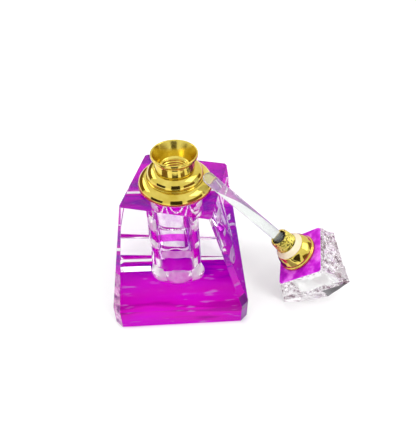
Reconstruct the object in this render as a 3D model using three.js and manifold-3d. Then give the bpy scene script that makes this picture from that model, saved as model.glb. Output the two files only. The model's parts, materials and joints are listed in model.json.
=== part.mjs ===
import * as THREE from 'three';
import { mergeVertices } from 'three/addons/utils/BufferGeometryUtils.js';
import Module from 'manifold-3d';

const wasm = await Module();
wasm.setup();

// Millimetres, +Z up, the bottle's axis on Z and its underside on Z = 0

// Crystal block: square foot, low upright plinth, then a twisted taper to a smaller square top
const BASE_W = 40;
const TOP_W = 25;
const BLOCK_H = 39.3;
const PLINTH_H = 8.2;
const TWIST = THREE.MathUtils.degToRad(-14.7);
const BASE_CUT = 2.1;
const TOP_CUT = 0.7;
const FOOT_BEVEL = 0.7;
const COAT_T = 0.4;

// Back of the block: a toe, an upright face, a narrow slanting ledge, a second upright face, then the taper
const TOE_FRONT = 2.5;
const TOE_LEFT = 3.6;
const TOE_RIGHT = 1.3;
const LEDGE_LOW_LEFT = PLINTH_H + 2.4;
const LEDGE_LOW_RIGHT = PLINTH_H + 0.7;
const LEDGE_TOP_FRONT = PLINTH_H + 3.4;
const LEDGE_TOP_LEFT = PLINTH_H + 4.7;
const LEDGE_TOP_RIGHT = PLINTH_H + 2;
const BACK_BEND = PLINTH_H + 0.572 * (BLOCK_H - PLINTH_H);
const BACK_DEEP_LEFT = BASE_W / 2 - 0.7;
const BACK_DEEP_RIGHT = BASE_W / 2;
const UPPER_DEEP_LEFT = BACK_DEEP_LEFT - 0.8;
const UPPER_DEEP_RIGHT = BACK_DEEP_RIGHT - 1.2;

// Oil well bored down from the top
const WELL_R = 7.5;
const WELL_FLOOR = 8.8;
const WELL_ROUND = 1.2;

// Gaps: FIT inside the stopper and its thread, GAP round the collar and where pieces turn or lie loose
const FIT = 0.2;
const GAP = 0.3;

// Collar heights, counted up from the top of the block
const GASKET_T = 0.4;
const RIM_TOP = 0.7;
const FLANGE_TOP = 3.3;
const BEAD_TOP = 6.3;
const NECK_TOP = 8.6;
const LIP_TOP = 10.7;
const SPIGOT_DEEP = 1.6;
const MOUTH_DEEP = 1.2;

// Collar radii, from the throat outwards
const THROAT_R = 3.6;
const THROAT_TOP = 6.2;
const THROAT_WALL = 1.1;
const NECK_SHOULDER = 0.7;
const LIP_FLARE = 1;
const LIP_WALL = 0.4;
const BEAD_WIDE = 2.4;
const FLANGE_SEAT = 2.95;
const MOUTH_R = THROAT_R + THROAT_WALL;
const NECK_R = MOUTH_R + NECK_SHOULDER;
const LIP_R = NECK_R + LIP_FLARE;
const BEAD_R = NECK_R + BEAD_WIDE;
const FLANGE_R = WELL_R + FLANGE_SEAT;

// Stopper lengths, counted down the rod from the coated face of its head
const GIRDLE_DEEP = 8.8;
const HEAD_DEEP = 12.1;
const BELL_END = 4.5;
const SEAL_T = 1.4;
const SCREW_END = 9.9;
const SOCKET_TOP = 7.2;
const TIP_END = 41.9;

// Stopper head: how far its coated face, its girdle and its far plate reach from the rod's axis
const NEAR_LEFT = 6.7;
const NEAR_RIGHT = 7.7;
const NEAR_REAR = 7.1;
const NEAR_FRONT = 8.7;
const GIRDLE_LEFT = NEAR_LEFT + 4.6;
const GIRDLE_RIGHT = NEAR_RIGHT + 4.3;
const GIRDLE_REAR = NEAR_REAR + 1.2;
const GIRDLE_FRONT = NEAR_FRONT + 0.5;
const CHIP_IN = 3;
const CHIP_NEAR = 2.8;
const PLATE_LEFT = 7.9;
const PLATE_RIGHT = 2.8;
const PLATE_REAR = 7.4;
const PLATE_FRONT = 8.5;
const PLATE_BULGE = 1.2;
const HEAD_CUT = 0.5;

// Stopper radii
const ROD_R = 1.6;
const BUSH_WALL = 0.3;
const SOCKET_WALL = 0.45;
const STUD_R = 1.9;
const SEAL_SEAT = 1;
const BELL_FLARE = 1.55;
const SOCKET_R = ROD_R + BUSH_WALL + 2 * FIT;
const SCREW_TIP_R = SOCKET_R + SOCKET_WALL;
const SCREW_R = THROAT_R - FIT;
const SEAL_R = THROAT_R - 0.1;
const BELL_NECK_R = THROAT_R + SEAL_SEAT;
const BELL_R = BELL_NECK_R + BELL_FLARE;

// Screw threads, drawn as rings
const PITCH = 0.8;
const THROAT_THREAD = 0.35;
const SCREW_THREAD = 0.25;
const SCREW_TAPER = 0.4;

// How the loose stopper lies beside the bottle
const TIP_REACH = BEAD_R + ROD_R + 0.9;
const TIP_BEARING = THREE.MathUtils.degToRad(-30);
const ROD_HEADING = THREE.MathUtils.degToRad(-3);
const HEAD_SPIN = THREE.MathUtils.degToRad(102.5);

const ROUND = 48;
const ORIGIN = new THREE.Vector2();

// Only positions are kept, with shared corners joined
function closed(geometry) {
  geometry.deleteAttribute('normal');
  geometry.deleteAttribute('uv');
  return mergeVertices(geometry, 1e-5);
}

function toSolid(geometry) {
  const vertProperties = Float32Array.from(geometry.attributes.position.array);
  const triVerts = Uint32Array.from(geometry.index.array);
  return new wasm.Manifold(new wasm.Mesh({ numProp: 3, vertProperties, triVerts }));
}

function subtract(geometry, tool) {
  const mesh = toSolid(geometry).subtract(toSolid(tool)).getMesh();
  const result = new THREE.BufferGeometry();
  result.setAttribute('position', new THREE.BufferAttribute(mesh.vertProperties, 3));
  result.setIndex(new THREE.BufferAttribute(mesh.triVerts, 1));
  return result;
}

// A profile of radius and height pairs, turned round Z
function turned(profile, sides = ROUND) {
  const points = profile.map(([r, z]) => new THREE.Vector2(r, z));
  return closed(new THREE.LatheGeometry(points, sides).rotateX(Math.PI / 2));
}

// A quarter or half round, as profile pairs
function arc(r, z, radius, from, to, steps = 6) {
  const spots = [];
  for (let i = 0; i <= steps; i += 1) {
    const angle = THREE.MathUtils.degToRad(from + ((to - from) * i) / steps);
    spots.push([r + radius * Math.cos(angle), z + radius * Math.sin(angle)]);
  }
  return spots;
}

// A quarter of an ellipse from an upright rim up to a level top, as profile pairs
function dome(rimR, rimZ, topR, topZ, steps = 10) {
  return arc(0, 0, 1, 0, 90, steps).map(([across, rise]) => [
    THREE.MathUtils.lerp(topR, rimR, across),
    THREE.MathUtils.lerp(rimZ, topZ, rise),
  ]);
}

// Thread rings between two heights, crests running from one radius to the other, roots off by a depth
function threads(crestFrom, crestTo, deep, from, to) {
  const count = Math.round(Math.abs(to - from) / PITCH);
  const step = (to - from) / count;
  const spots = [];
  for (let i = 0; i < count; i += 1) {
    const z = from + i * step;
    const crest = THREE.MathUtils.lerp(crestFrom, crestTo, i / count);
    const root = crest + deep;
    spots.push([crest, z], [crest, z + step * 0.2], [root, z + step * 0.5], [root, z + step * 0.7]);
  }
  spots.push([crestTo, to]);
  return spots;
}

// Corner number 0 to 7 of a square with cut corners, counted anticlockwise
function outline(half, cut, turn = 0) {
  return (k) => {
    const side = (k % 2 ? 1 : -1) * (half - cut);
    return new THREE.Vector2(half, side).rotateAround(ORIGIN, (Math.floor(k / 2) * Math.PI) / 2 + turn);
  };
}

// A ring of four corners, B, C, D and A in turn, each cut off
function quad(corners, cut) {
  return (k) => {
    const i = Math.floor(((k + 7) % 8) / 2);
    const toward = corners[(i + (k % 2 ? 3 : 1)) % 4];
    const corner = corners[i].clone();
    return corner.addScaledVector(toward.clone().sub(corner).normalize(), cut);
  };
}

// The same outline laid at one height
function level(z, at) {
  return (k) => new THREE.Vector3(at(k).x, at(k).y, z);
}

// A solid through eight-cornered rings, with straight edges from each corner to the next ring
function loft(rings) {
  const last = rings.length - 1;
  const body = new THREE.CylinderGeometry(1, 1, last, 8, last);
  const spot = body.attributes.position;
  for (let i = 0; i < spot.count; i += 1) {
    const ring = rings[Math.round(spot.getY(i) + last / 2)];
    const eighth = Math.round(Math.atan2(spot.getX(i), spot.getZ(i)) / (Math.PI / 4));
    const onAxis = Math.hypot(spot.getX(i), spot.getZ(i)) < 0.5;
    const at = ring((eighth + 8) % 8);
    spot.setXYZ(i, onAxis ? 0 : at.x, onAxis ? 0 : at.y, at.z);
  }
  return closed(body);
}

const group = new THREE.Group();
group.name = 'perfume_oil_bottle';

function add(name, geometry, look, matrix) {
  if (matrix) {
    geometry.applyMatrix4(matrix);
  }
  const mesh = new THREE.Mesh(geometry, new THREE.MeshStandardMaterial(look));
  mesh.name = name;
  group.add(mesh);
}

const CRYSTAL = { color: 0xf4f0f8, roughness: 0.04, metalness: 0 };
const MAGENTA = { color: 0xc414b4, roughness: 0.35, metalness: 0 };
const GOLD = { color: 0xd8b04a, roughness: 0.2, metalness: 1 };
const RUBBER = { color: 0x2b2420, roughness: 0.7, metalness: 0 };
const PLASTIC = { color: 0xe9e6e2, roughness: 0.4, metalness: 0 };

// Colour coat under the block
const foot = outline(BASE_W / 2 - FOOT_BEVEL, BASE_CUT);
add('base_coat', loft([level(0, foot), level(COAT_T, foot)]), MAGENTA);

// Crystal block with its well
const plinth = outline(BASE_W / 2, BASE_CUT);
const crown = outline(TOP_W / 2, TOP_CUT, TWIST);

// A corner of the block on its taper, pulled to a depth of its own at the back
function blockCorner(k, z, depth) {
  const rise = THREE.MathUtils.clamp((z - PLINTH_H) / (BLOCK_H - PLINTH_H), 0, 1);
  const at = plinth(k).lerp(crown(k), rise);
  return new THREE.Vector3(at.x, depth ?? at.y, z);
}

// A ring with its front corners at one height, and the two at the back each at their own height and depth
function blockRing(z, left, right) {
  return (k) => {
    const back = { 2: right, 3: left }[k];
    return back ? blockCorner(k, back.x, back.y) : blockCorner(k, z);
  };
}

// Rings between two, evenly spaced, the upper one included
function blockRise(low, high, steps) {
  const rings = [];
  for (let i = 1; i <= steps; i += 1) {
    const rise = i / steps;
    const z = THREE.MathUtils.lerp(low.z, high.z, rise);
    const left = low.left.clone().lerp(high.left, rise);
    const right = low.right.clone().lerp(high.right, rise);
    rings.push(blockRing(z, left, right));
  }
  return rings;
}

const at = (height, depth) => new THREE.Vector2(height, depth);
const toe = { z: TOE_FRONT, left: at(TOE_LEFT, BACK_DEEP_LEFT), right: at(TOE_RIGHT, BACK_DEEP_RIGHT) };
const ledge = {
  z: PLINTH_H,
  left: at(LEDGE_LOW_LEFT, BACK_DEEP_LEFT),
  right: at(LEDGE_LOW_RIGHT, BACK_DEEP_RIGHT),
};
const ledgeTop = {
  z: LEDGE_TOP_FRONT,
  left: at(LEDGE_TOP_LEFT, UPPER_DEEP_LEFT),
  right: at(LEDGE_TOP_RIGHT, UPPER_DEEP_RIGHT),
};
const bend = { z: BACK_BEND, left: at(BACK_BEND, UPPER_DEEP_LEFT), right: at(BACK_BEND, UPPER_DEEP_RIGHT) };
const brim = { z: BLOCK_H, left: at(BLOCK_H, crown(3).y), right: at(BLOCK_H, crown(2).y) };
const blockRings = [
  level(COAT_T, foot),
  level(COAT_T + FOOT_BEVEL, plinth),
  blockRing(toe.z, toe.left, toe.right),
  ...blockRise(toe, ledge, 1),
  ...blockRise(ledge, ledgeTop, 2),
  ...blockRise(ledgeTop, bend, 6),
  ...blockRise(bend, brim, 6),
];
const well = turned([
  [0, WELL_FLOOR],
  ...arc(WELL_R - WELL_ROUND, WELL_FLOOR + WELL_ROUND, WELL_ROUND, -90, 0),
  [WELL_R, BLOCK_H + 1],
  [0, BLOCK_H + 1],
]);
add('glass_block', subtract(loft(blockRings), well), CRYSTAL);

// Gasket between the block and the flange
const up = (z) => BLOCK_H + z;
add('collar_gasket', turned([
  [WELL_R, up(0)],
  [FLANGE_R - 0.6, up(0)],
  [FLANGE_R - 0.6, up(GASKET_T)],
  [WELL_R, up(GASKET_T)],
  [WELL_R, up(0)],
]), PLASTIC);

// Flange with a domed top, and the spigot that is cemented into the well
const flangeDome = dome(FLANGE_R, up(RIM_TOP), BEAD_R + 0.2, up(FLANGE_TOP));
const SLEEVE_R = MOUTH_R + GAP;
const SPIGOT_R = WELL_R - GAP;
add('collar_flange', turned([
  [SLEEVE_R, up(-SPIGOT_DEEP)],
  [SPIGOT_R, up(-SPIGOT_DEEP)],
  [SPIGOT_R, up(GASKET_T)],
  [FLANGE_R - 0.3, up(GASKET_T)],
  ...flangeDome,
  [BEAD_R, up(FLANGE_TOP - 0.2)],
  [BEAD_R - 0.2, up(FLANGE_TOP)],
  [SLEEVE_R, up(FLANGE_TOP)],
  [SLEEVE_R, up(-SPIGOT_DEEP)],
]), GOLD);

// Domed bead pressed down on the flange by the neck's shoulder
add('collar_bead', turned([
  [SLEEVE_R, up(FLANGE_TOP)],
  [BEAD_R - 0.3, up(FLANGE_TOP)],
  ...dome(BEAD_R, up(FLANGE_TOP + 0.5), NECK_R, up(BEAD_TOP)),
  [SLEEVE_R, up(BEAD_TOP)],
  [SLEEVE_R, up(FLANGE_TOP)],
]), GOLD);

// Neck with a flared mouth, a funnel and a threaded throat
const FLARE_R = LIP_TOP - NECK_TOP;
add('collar_mouth', turned([
  ...threads(THROAT_R, THROAT_R, THROAT_THREAD, up(THROAT_TOP), up(-MOUTH_DEEP + 1)),
  [THROAT_R, up(-MOUTH_DEEP)],
  [MOUTH_R, up(-MOUTH_DEEP)],
  [MOUTH_R, up(BEAD_TOP)],
  [NECK_R, up(BEAD_TOP)],
  [NECK_R, up(NECK_TOP - 0.6)],
  [NECK_R + 0.3 * (LIP_R - NECK_R), up(NECK_TOP + 0.2 * FLARE_R)],
  [LIP_R, up(LIP_TOP - 0.3)],
  [LIP_R, up(LIP_TOP)],
  [LIP_R - LIP_WALL, up(LIP_TOP)],
  [NECK_R - 0.5, up(NECK_TOP)],
  [THROAT_R + 0.6, up(THROAT_TOP + 0.2)],
  [THROAT_R, up(THROAT_TOP)],
]), GOLD);

// Lie of the stopper: its own +Z runs up the rod to the head, zero at the coated face
function lie(tipHeight, dip) {
  const run = Math.cos(dip);
  const axis = new THREE.Vector3(run * Math.cos(ROD_HEADING), run * Math.sin(ROD_HEADING), -Math.sin(dip));
  const level = new THREE.Vector3(0, 0, 1).cross(axis).normalize();
  const across = level.clone().applyAxisAngle(axis, HEAD_SPIN);
  const tip = new THREE.Vector3(
    TIP_REACH * Math.cos(TIP_BEARING),
    TIP_REACH * Math.sin(TIP_BEARING),
    tipHeight,
  );
  const matrix = new THREE.Matrix4().makeBasis(across, axis.clone().cross(across), axis);
  return matrix.setPosition(tip.addScaledVector(axis, TIP_END - ROD_R));
}

// Head: flares from the coated face to a girdle with one chipped corner, then slopes in to a far plate
const spot = (x, y, z) => new THREE.Vector3(x, y, z);
const headNear = (z) => quad([
  spot(NEAR_RIGHT, NEAR_FRONT, z),
  spot(-NEAR_LEFT, NEAR_FRONT, z),
  spot(-NEAR_LEFT, -NEAR_REAR, z),
  spot(NEAR_RIGHT, -NEAR_REAR, z),
], HEAD_CUT);
const headGirdle = quad([
  spot(GIRDLE_RIGHT, GIRDLE_FRONT, GIRDLE_DEEP),
  spot(-GIRDLE_LEFT, GIRDLE_FRONT, GIRDLE_DEEP),
  spot(-GIRDLE_LEFT, -GIRDLE_REAR, GIRDLE_DEEP),
  spot(GIRDLE_RIGHT - CHIP_IN, -GIRDLE_REAR, GIRDLE_DEEP - CHIP_NEAR),
], HEAD_CUT);
const headPlate = quad([
  spot(PLATE_RIGHT, PLATE_FRONT + PLATE_BULGE, HEAD_DEEP),
  spot(-PLATE_LEFT, PLATE_FRONT, HEAD_DEEP),
  spot(-PLATE_LEFT, -PLATE_REAR, HEAD_DEEP),
  spot(PLATE_RIGHT, -PLATE_REAR, HEAD_DEEP),
], HEAD_CUT);
const headRings = [headNear(COAT_T + GAP), headGirdle, headPlate];

// Height of the head's lowest corner over the table
function headHeight(matrix) {
  let lowest = Infinity;
  for (const ring of headRings) {
    for (let k = 0; k < 8; k += 1) {
      lowest = Math.min(lowest, ring(k).applyMatrix4(matrix).z);
    }
  }
  return lowest;
}

// Space between the rod and whichever is nearer, the flange's dome or the block's top edge
function rodSpace(matrix) {
  const far = new THREE.Vector3(0, 0, ROD_R - TIP_END).applyMatrix4(matrix);
  const rod = new THREE.Line3(far, new THREE.Vector3().applyMatrix4(matrix));
  const nearest = new THREE.Vector3();
  let space = Infinity;
  for (let i = 0; i < 240; i += 1) {
    const turn = (i / 240) * Math.PI * 2;
    for (const [r, z] of flangeDome) {
      const rim = new THREE.Vector3(r * Math.cos(turn), r * Math.sin(turn), z);
      rod.closestPointToPoint(rim, true, nearest);
      space = Math.min(space, nearest.distanceTo(rim) - ROD_R);
    }
    const along = crown(0).lerp(crown(1), i / 240);
    const edge = new THREE.Vector3(along.x, along.y, BLOCK_H);
    rod.closestPointToPoint(edge, true, nearest);
    space = Math.min(space, nearest.distanceTo(edge) - ROD_R);
  }
  return space;
}

// Where a rising function passes zero
function crossing(rising, low, high) {
  let from = low;
  let to = high;
  for (let i = 0; i < 40; i += 1) {
    const middle = (from + to) / 2;
    if (rising(middle) < 0) {
      from = middle;
    } else {
      to = middle;
    }
  }
  return (from + to) / 2;
}

// The head rests on the table, and the rod on the dome or the edge
const dipAt = (height) => crossing((dip) => GAP - headHeight(lie(height, dip)), 0, Math.PI / 2);
const tipHeight = crossing((height) => rodSpace(lie(height, dipAt(height))) - GAP, BLOCK_H, up(LIP_TOP));
const LYING = lie(tipHeight, dipAt(tipHeight));

// Colour coat on the head's face, and the crystal head
add('stopper_coat', loft([headNear(0), headNear(COAT_T)]), MAGENTA, LYING);
add('stopper_block', loft(headRings), CRYSTAL, LYING);

// Bell that joins the head to the screw, with a bead round its foot
const BELL_FOOT = GAP + 0.9;
add('stopper_bell', turned([
  [STUD_R + FIT, -BELL_END],
  [BELL_NECK_R, -BELL_END],
  ...dome(BELL_NECK_R + 0.8 * BELL_FLARE, -BELL_FOOT - 0.2, BELL_NECK_R, -BELL_END, 7).reverse().slice(1),
  [BELL_NECK_R + 0.7 * BELL_FLARE, -BELL_FOOT],
  [BELL_R, -BELL_FOOT + 0.3],
  [BELL_R, -GAP - 0.1],
  [BELL_R - 0.1, -GAP],
  [STUD_R + FIT, -GAP],
  [STUD_R + FIT, -BELL_END],
]), GOLD, LYING);

// Conical sealing washer, free to turn on the screw's stud
const SEAL_TOP = -BELL_END - GAP;
const SEAL_LOW = SEAL_TOP - SEAL_T;
add('seal_washer', turned([
  [STUD_R + GAP, SEAL_LOW],
  [SEAL_R, SEAL_LOW],
  [BELL_NECK_R, SEAL_TOP - 0.2],
  [BELL_NECK_R - 0.2, SEAL_TOP],
  [STUD_R + GAP, SEAL_TOP],
  [STUD_R + GAP, SEAL_LOW],
]), PLASTIC, LYING);

// Screw with its stud in the bell and a socket for the rod
const SCREW_TOP = SEAL_LOW - GAP;
add('stopper_screw', turned([
  [0, -SOCKET_TOP],
  [SOCKET_R, -SOCKET_TOP],
  [SOCKET_R, -SCREW_END],
  [SCREW_TIP_R, -SCREW_END],
  ...threads(SCREW_R - SCREW_TAPER, SCREW_R, -SCREW_THREAD, -SCREW_END + 0.6, SCREW_TOP),
  [STUD_R, SCREW_TOP],
  [STUD_R, -2 * GAP],
  [0, -2 * GAP],
]), GOLD, LYING);

// Dark bush of cement that holds the rod in the socket
const BUSH_TOP = -SOCKET_TOP - FIT;
const BUSH_LOW = -SCREW_END + 0.7;
add('rod_bush', turned([
  [ROD_R + FIT, BUSH_LOW],
  [ROD_R + FIT + BUSH_WALL, BUSH_LOW],
  [ROD_R + FIT + BUSH_WALL, BUSH_TOP],
  [ROD_R + FIT, BUSH_TOP],
  [ROD_R + FIT, BUSH_LOW],
]), RUBBER, LYING);

// Glass applicator rod with a round tip
add('applicator_rod', turned([
  ...arc(0, ROD_R - TIP_END, ROD_R, -90, 0),
  [ROD_R, BUSH_TOP - 0.1],
  [ROD_R - 0.2, BUSH_TOP + 0.1],
  [0, BUSH_TOP + 0.1],
], 24), CRYSTAL, LYING);

export default group;
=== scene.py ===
import json
import math

import bmesh
import bpy
from mathutils import Matrix, Vector, noise


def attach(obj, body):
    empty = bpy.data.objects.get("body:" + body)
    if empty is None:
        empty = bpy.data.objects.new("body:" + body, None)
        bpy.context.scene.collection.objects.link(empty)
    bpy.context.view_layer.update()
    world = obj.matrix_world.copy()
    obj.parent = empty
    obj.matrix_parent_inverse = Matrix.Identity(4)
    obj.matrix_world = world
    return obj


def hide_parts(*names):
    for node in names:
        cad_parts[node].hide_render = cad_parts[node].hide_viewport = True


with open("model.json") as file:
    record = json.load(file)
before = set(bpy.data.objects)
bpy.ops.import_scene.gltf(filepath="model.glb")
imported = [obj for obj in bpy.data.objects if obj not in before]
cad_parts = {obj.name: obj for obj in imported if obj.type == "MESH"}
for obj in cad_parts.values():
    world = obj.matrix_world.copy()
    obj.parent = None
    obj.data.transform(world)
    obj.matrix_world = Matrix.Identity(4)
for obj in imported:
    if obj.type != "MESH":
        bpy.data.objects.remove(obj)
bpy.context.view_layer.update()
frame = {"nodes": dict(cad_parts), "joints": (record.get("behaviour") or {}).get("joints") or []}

# Shapes below are written in millimetres. A face within a skin of a level counts as lying on it
MM = 0.001
SKIN = 0.01

# Crystal block, an outline of eight corners that twists and tapers to its top
CORNERS = 8
BASE_W = 40.0
TOP_W = 25.0
BLOCK_H = 39.3
PLINTH_H = 8.2
TWIST = math.radians(-14.7)
BASE_CUT = 2.1
TOP_CUT = 0.7
FOOT_BEVEL = 0.7
FACET_ANGLE = 8.0
EDGE_ROUND = 0.22

# Back of the block: heights and depths of its toe, ledge and upright face
TOE_FRONT = 2.5
TOE_LEFT = 3.6
TOE_RIGHT = 1.3
LEDGE_LOW_LEFT = 10.6
LEDGE_LOW_RIGHT = 8.9
LEDGE_TOP_FRONT = 11.6
LEDGE_TOP_LEFT = 12.9
LEDGE_TOP_RIGHT = 10.2
BACK_BEND = 26.0
BACK_DEEP_LEFT = 19.3
BACK_DEEP_RIGHT = BASE_W / 2
UPPER_DEEP_LEFT = 18.5
UPPER_DEEP_RIGHT = 18.8
LEDGE_STEPS = 4
FACE_STEPS = 14

# Corners of the outline at the back, and the sides that cut the corners
BACK_RIGHT = 2
BACK_LEFT = 3
BACK_RIGHT_CUT = 1
FRONT_LEFT_CUT = 5
FRONT_RIGHT_CUT = 7

# How far up the cut corners carry painted grey reflections and painted violet shade
GREY_REFLECTION_TOP = 20.0
VIOLET_BACK_TOP = 22.0
VIOLET_FRONT_TOP = 12.0

# Colour coat, and a strip where it has lifted: back left, back right, front right, front left
COAT_T = 0.4
COAT_GAP = 0.02
COAT_ROUND = 0.12
LIFTED = [(-18.6, 16.4), (-8.5, 16.4), (-8.5, 13.3), (-18.6, 13.3)]

# Well
WELL_R = 7.5
WELL_FLOOR = 8.8
WELL_ROUND = 1.2
WELL_ROUND_STEPS = 6
SIDE_SHARE = 12

# Hollows in the well's wall: bearing, height, half width in degrees, half height and depth
WALL_HOLLOWS = [
    (-144, 12.2, 25, 2.7, 1.4), (-90, 12.6, 34, 2.6, 0.8), (-36, 12.2, 25, 2.7, 1.4),
    (-148, 23.4, 13, 1.5, 0.6), (-33, 23.0, 9, 0.9, 0.5),
    (-148, 30.8, 13, 2.6, 0.6), (-33, 30.4, 13, 2.0, 0.6),
]
HOLLOW_TOP = WELL_FLOOR + 26.35
HOLLOW_STEP = 0.35
HOLLOW_RINGS = 72

# Faces of a hollow are tinted with a painted pink reflection of the coat between these two depths, and with
# painted white highlights from this far to the side
TINT_FROM = 0.05
TINT_TO = 1.3
GLINT_ASIDE = 3.9

# Slanting bands of painted reflection on the front of the well's wall, a magenta one and a pale one: their
# slope, where they lie on the well's axis, and how far to each side the pale one reaches
BAND_SLOPE = 0.92
MAGENTA_REFLECTION_BAND = (19.7, 22.6)
BAND_EDGES = [(0.0, (0, 0, 0)), (0.06, (1, 1, 1)), (0.94, (1, 1, 1)), (1.0, (0, 0, 0))]
PALE_REFLECTION_BAND = (13.4, 16.2)
PALE_REFLECTION_REACH = 4.5

# Collar: radii, and heights above the block's top
GASKET_R = 9.85
GASKET_T = 0.4
SLEEVE_R = 5.0
SPIGOT_R = 7.2
SPIGOT_DEEP = 1.6
FLANGE_R = 10.45
FLANGE_UNDER_R = 10.15
FLANGE_DOME_R = 8.0
RIM_TOP = 0.7
FLANGE_TOP = 3.3
BEAD_R = 7.8
BEAD_DOME_R = 5.4
BEAD_LOW = 3.32
BEAD_RIM = 3.8
BEAD_TOP = 6.3
MOUTH_R = 4.7
MOUTH_DEEP = 1.2
NECK_LOW = 6.32
NECK_FOOT_R = 5.6
NECK_R = 5.3
LIP_R = 6.4
LIP_INNER_R = 6.0
LIP_TOP = 10.7
THROAT_R = 3.6
THROAT_TOP = 6.2
THROAT_LONG = 7.2
THROAT_STEPS = 72
FUNNEL_LOW = 5.9

# Threads
PITCH = 0.8
THREAD_STEEP = 3.0
THROAT_THREAD = 0.34
THROAT_THREAD_SPAN = (-1.1, 6.1)
SCREW_THREAD = 0.3
SCREW_THREAD_SPAN = (-9.35, -6.45)
KNURLS = 34
KNURL_RISE = 9
KNURL_DEEP = 0.06
CRINKLE_ROUND = 9
CRINKLE_RISE = 5
CRINKLE_DEEP = 0.14

# Stopper: radii, and heights along its own axis, zero at the coated face and rising into the head
BELL_R = 6.15
BELL_BORE = 2.1
BELL_LOW = -4.52
BELL_TOP = -0.3
SEAL_BORE = 2.2
SEAL_R = 4.6
SEAL_TIP_R = 3.5
SEAL_LOW = -6.2
SEAL_TOP = -4.58
SCREW_TIP_R = 3.0
SCREW_TAPER = 0.4
SCREW_R = SCREW_TIP_R + SCREW_TAPER
SCREW_END = -9.9
SCREW_LOW = -9.4
SCREW_LONG = 3.0
SCREW_STEPS = 60
SCREW_TOP = -6.25
SOCKET_R = 2.3
SOCKET_TOP = -7.2
STUD_R = 1.9
STUD_TOP = -0.6
BUSH_R = 2.1
BUSH_BORE = 1.8
BUSH_LOW = -9.2
BUSH_TOP = -7.4
ROD_R = 1.6
ROD_TIP = -41.9
ROD_TOP = -7.3
ROD_SHOULDER = 0.2
ROD_TIP_STEPS = 10

# Stopper head: corners at its coated face, at its girdle and at its far plate
HEAD_SPIN = math.radians(102.5)
HEAD_FACE = [(7.7, 8.7), (-6.7, 8.7), (-6.7, -7.1), (7.7, -7.1)]
HEAD_GIRDLE = [(12.0, 9.2, 8.8), (-11.3, 9.2, 8.8), (-11.3, -8.3, 8.8), (9.0, -8.3, 6.0)]
HEAD_PLATE = [(2.8, 9.7, 12.1), (-7.9, 8.5, 12.1), (-7.9, -7.4, 12.1), (2.8, -7.4, 12.1)]
HEAD_GAP = 0.05
FACE_CUT = 0.5
GRID = 44
FLARE_ROWS = 22
SLOPE_ROWS = 10

# Chips of the head: they break towards its heart, with a calm window in the front side
HEART = Vector((0.0, 0.5, 6.0))
CHIP_SIZE = 0.22
CHIP_MEAN = 0.45
CHIP_TILT = 0.65
CHIP_MOST = 1.4
TILT_SPREAD = 7.0
TILT_SHIFT = Vector((3.1, 5.7, 1.3))
SWELL_SIZE = 0.8
SWELL = 0.25
EDGE_CALM = 0.7
FRONT_SIDE = 1
CALM_X = (-4.0, 8.0)
CALM_RISE = (0.12, 0.8)
CALM_CHIP = 0.08
FAR_CHIP = 0.25
SLOPE_CHIP = 0.25
CHIP_RISE = 5
CHIP_FALL = 4

# Where the head has its corner of painted dark reflection and its clear pane
DARK_REFLECTION_FROM = Vector((2.5, 8.0, 9.2))
PANE_Y = 8.2
PANE_X = (-3.0, 9.5)
PANE_Z = (1.2, 7.8)


# Meshes

ON_AXIS = 1e-4
EDGE_SHARE = 0.49


def add_piece(name, verts, faces, sharp):
    mesh = bpy.data.meshes.new(name)
    mesh.from_pydata([Vector(v) * MM for v in verts], [], faces)
    mesh.update()
    mesh.polygons.foreach_set("use_smooth", [True] * len(mesh.polygons))
    mesh.set_sharp_from_angle(angle=math.radians(sharp))
    piece = bpy.data.objects.new(name, mesh)
    bpy.context.scene.collection.objects.link(piece)
    return piece


def soft_profile(points, steps=5):
    """A closed outline of (radius, height, rounding) corners, each rounded off."""
    spots = []
    count = len(points)
    for i, (r, z, rounding) in enumerate(points):
        here = Vector((r, z))
        if rounding <= 0:
            spots.append(here)
            continue
        before = Vector(points[i - 1][:2]) - here
        after = Vector(points[(i + 1) % count][:2]) - here
        a = here + before.normalized() * min(rounding, before.length * EDGE_SHARE)
        b = here + after.normalized() * min(rounding, after.length * EDGE_SHARE)
        for k in range(steps + 1):
            t = k / steps
            spots.append(a * (1 - t) ** 2 + here * (2 * t * (1 - t)) + b * t ** 2)
    return [(p.x, p.y) for p in spots]


def dome(rim_r, rim_z, top_r, top_z, steps=16):
    """A quarter of an ellipse from an upright rim up to a level top."""
    turns = [math.pi / 2 * i / steps for i in range(steps + 1)]
    return [(top_r + (rim_r - top_r) * math.cos(a), rim_z + (top_z - rim_z) * math.sin(a)) for a in turns]


def on_block(points):
    """Lifts an outline whose heights start at the block's top."""
    return [(r, BLOCK_H + z, *rest) for r, z, *rest in points]


def lathe(profile, segments=128, wobble=None):
    """Turns a closed profile round Z. A wobble moves each radius by angle and height."""
    verts = []
    rows = []
    for r, z in profile:
        if r < ON_AXIS:
            rows.append([len(verts)] * segments)
            verts.append((0.0, 0.0, z))
            continue
        row = []
        for k in range(segments):
            angle = 2 * math.pi * k / segments
            radius = r + (wobble(r, z, angle) if wobble else 0.0)
            row.append(len(verts))
            verts.append((radius * math.cos(angle), radius * math.sin(angle), z))
        rows.append(row)
    faces = []
    for low, high in zip(rows, rows[1:] + rows[:1]):
        for k in range(segments):
            n = (k + 1) % segments
            ring = [low[k], low[n], high[n], high[k]]
            face = [v for i, v in enumerate(ring) if v not in ring[:i]]
            if len(face) > 2:
                faces.append(face)
    return verts, faces


def thread(z, angle):
    """Height of a helical ridge, from 0 to 1."""
    phase = (z / PITCH - angle / (2 * math.pi)) % 1.0
    return max(0.0, 1 - abs(phase - 0.5) * THREAD_STEEP)


def outward(piece):
    """Turns all faces the right way out."""
    bm = bmesh.new()
    bm.from_mesh(piece.data)
    bmesh.ops.recalc_face_normals(bm, faces=bm.faces)
    bm.to_mesh(piece.data)
    bm.free()
    return piece


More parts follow.
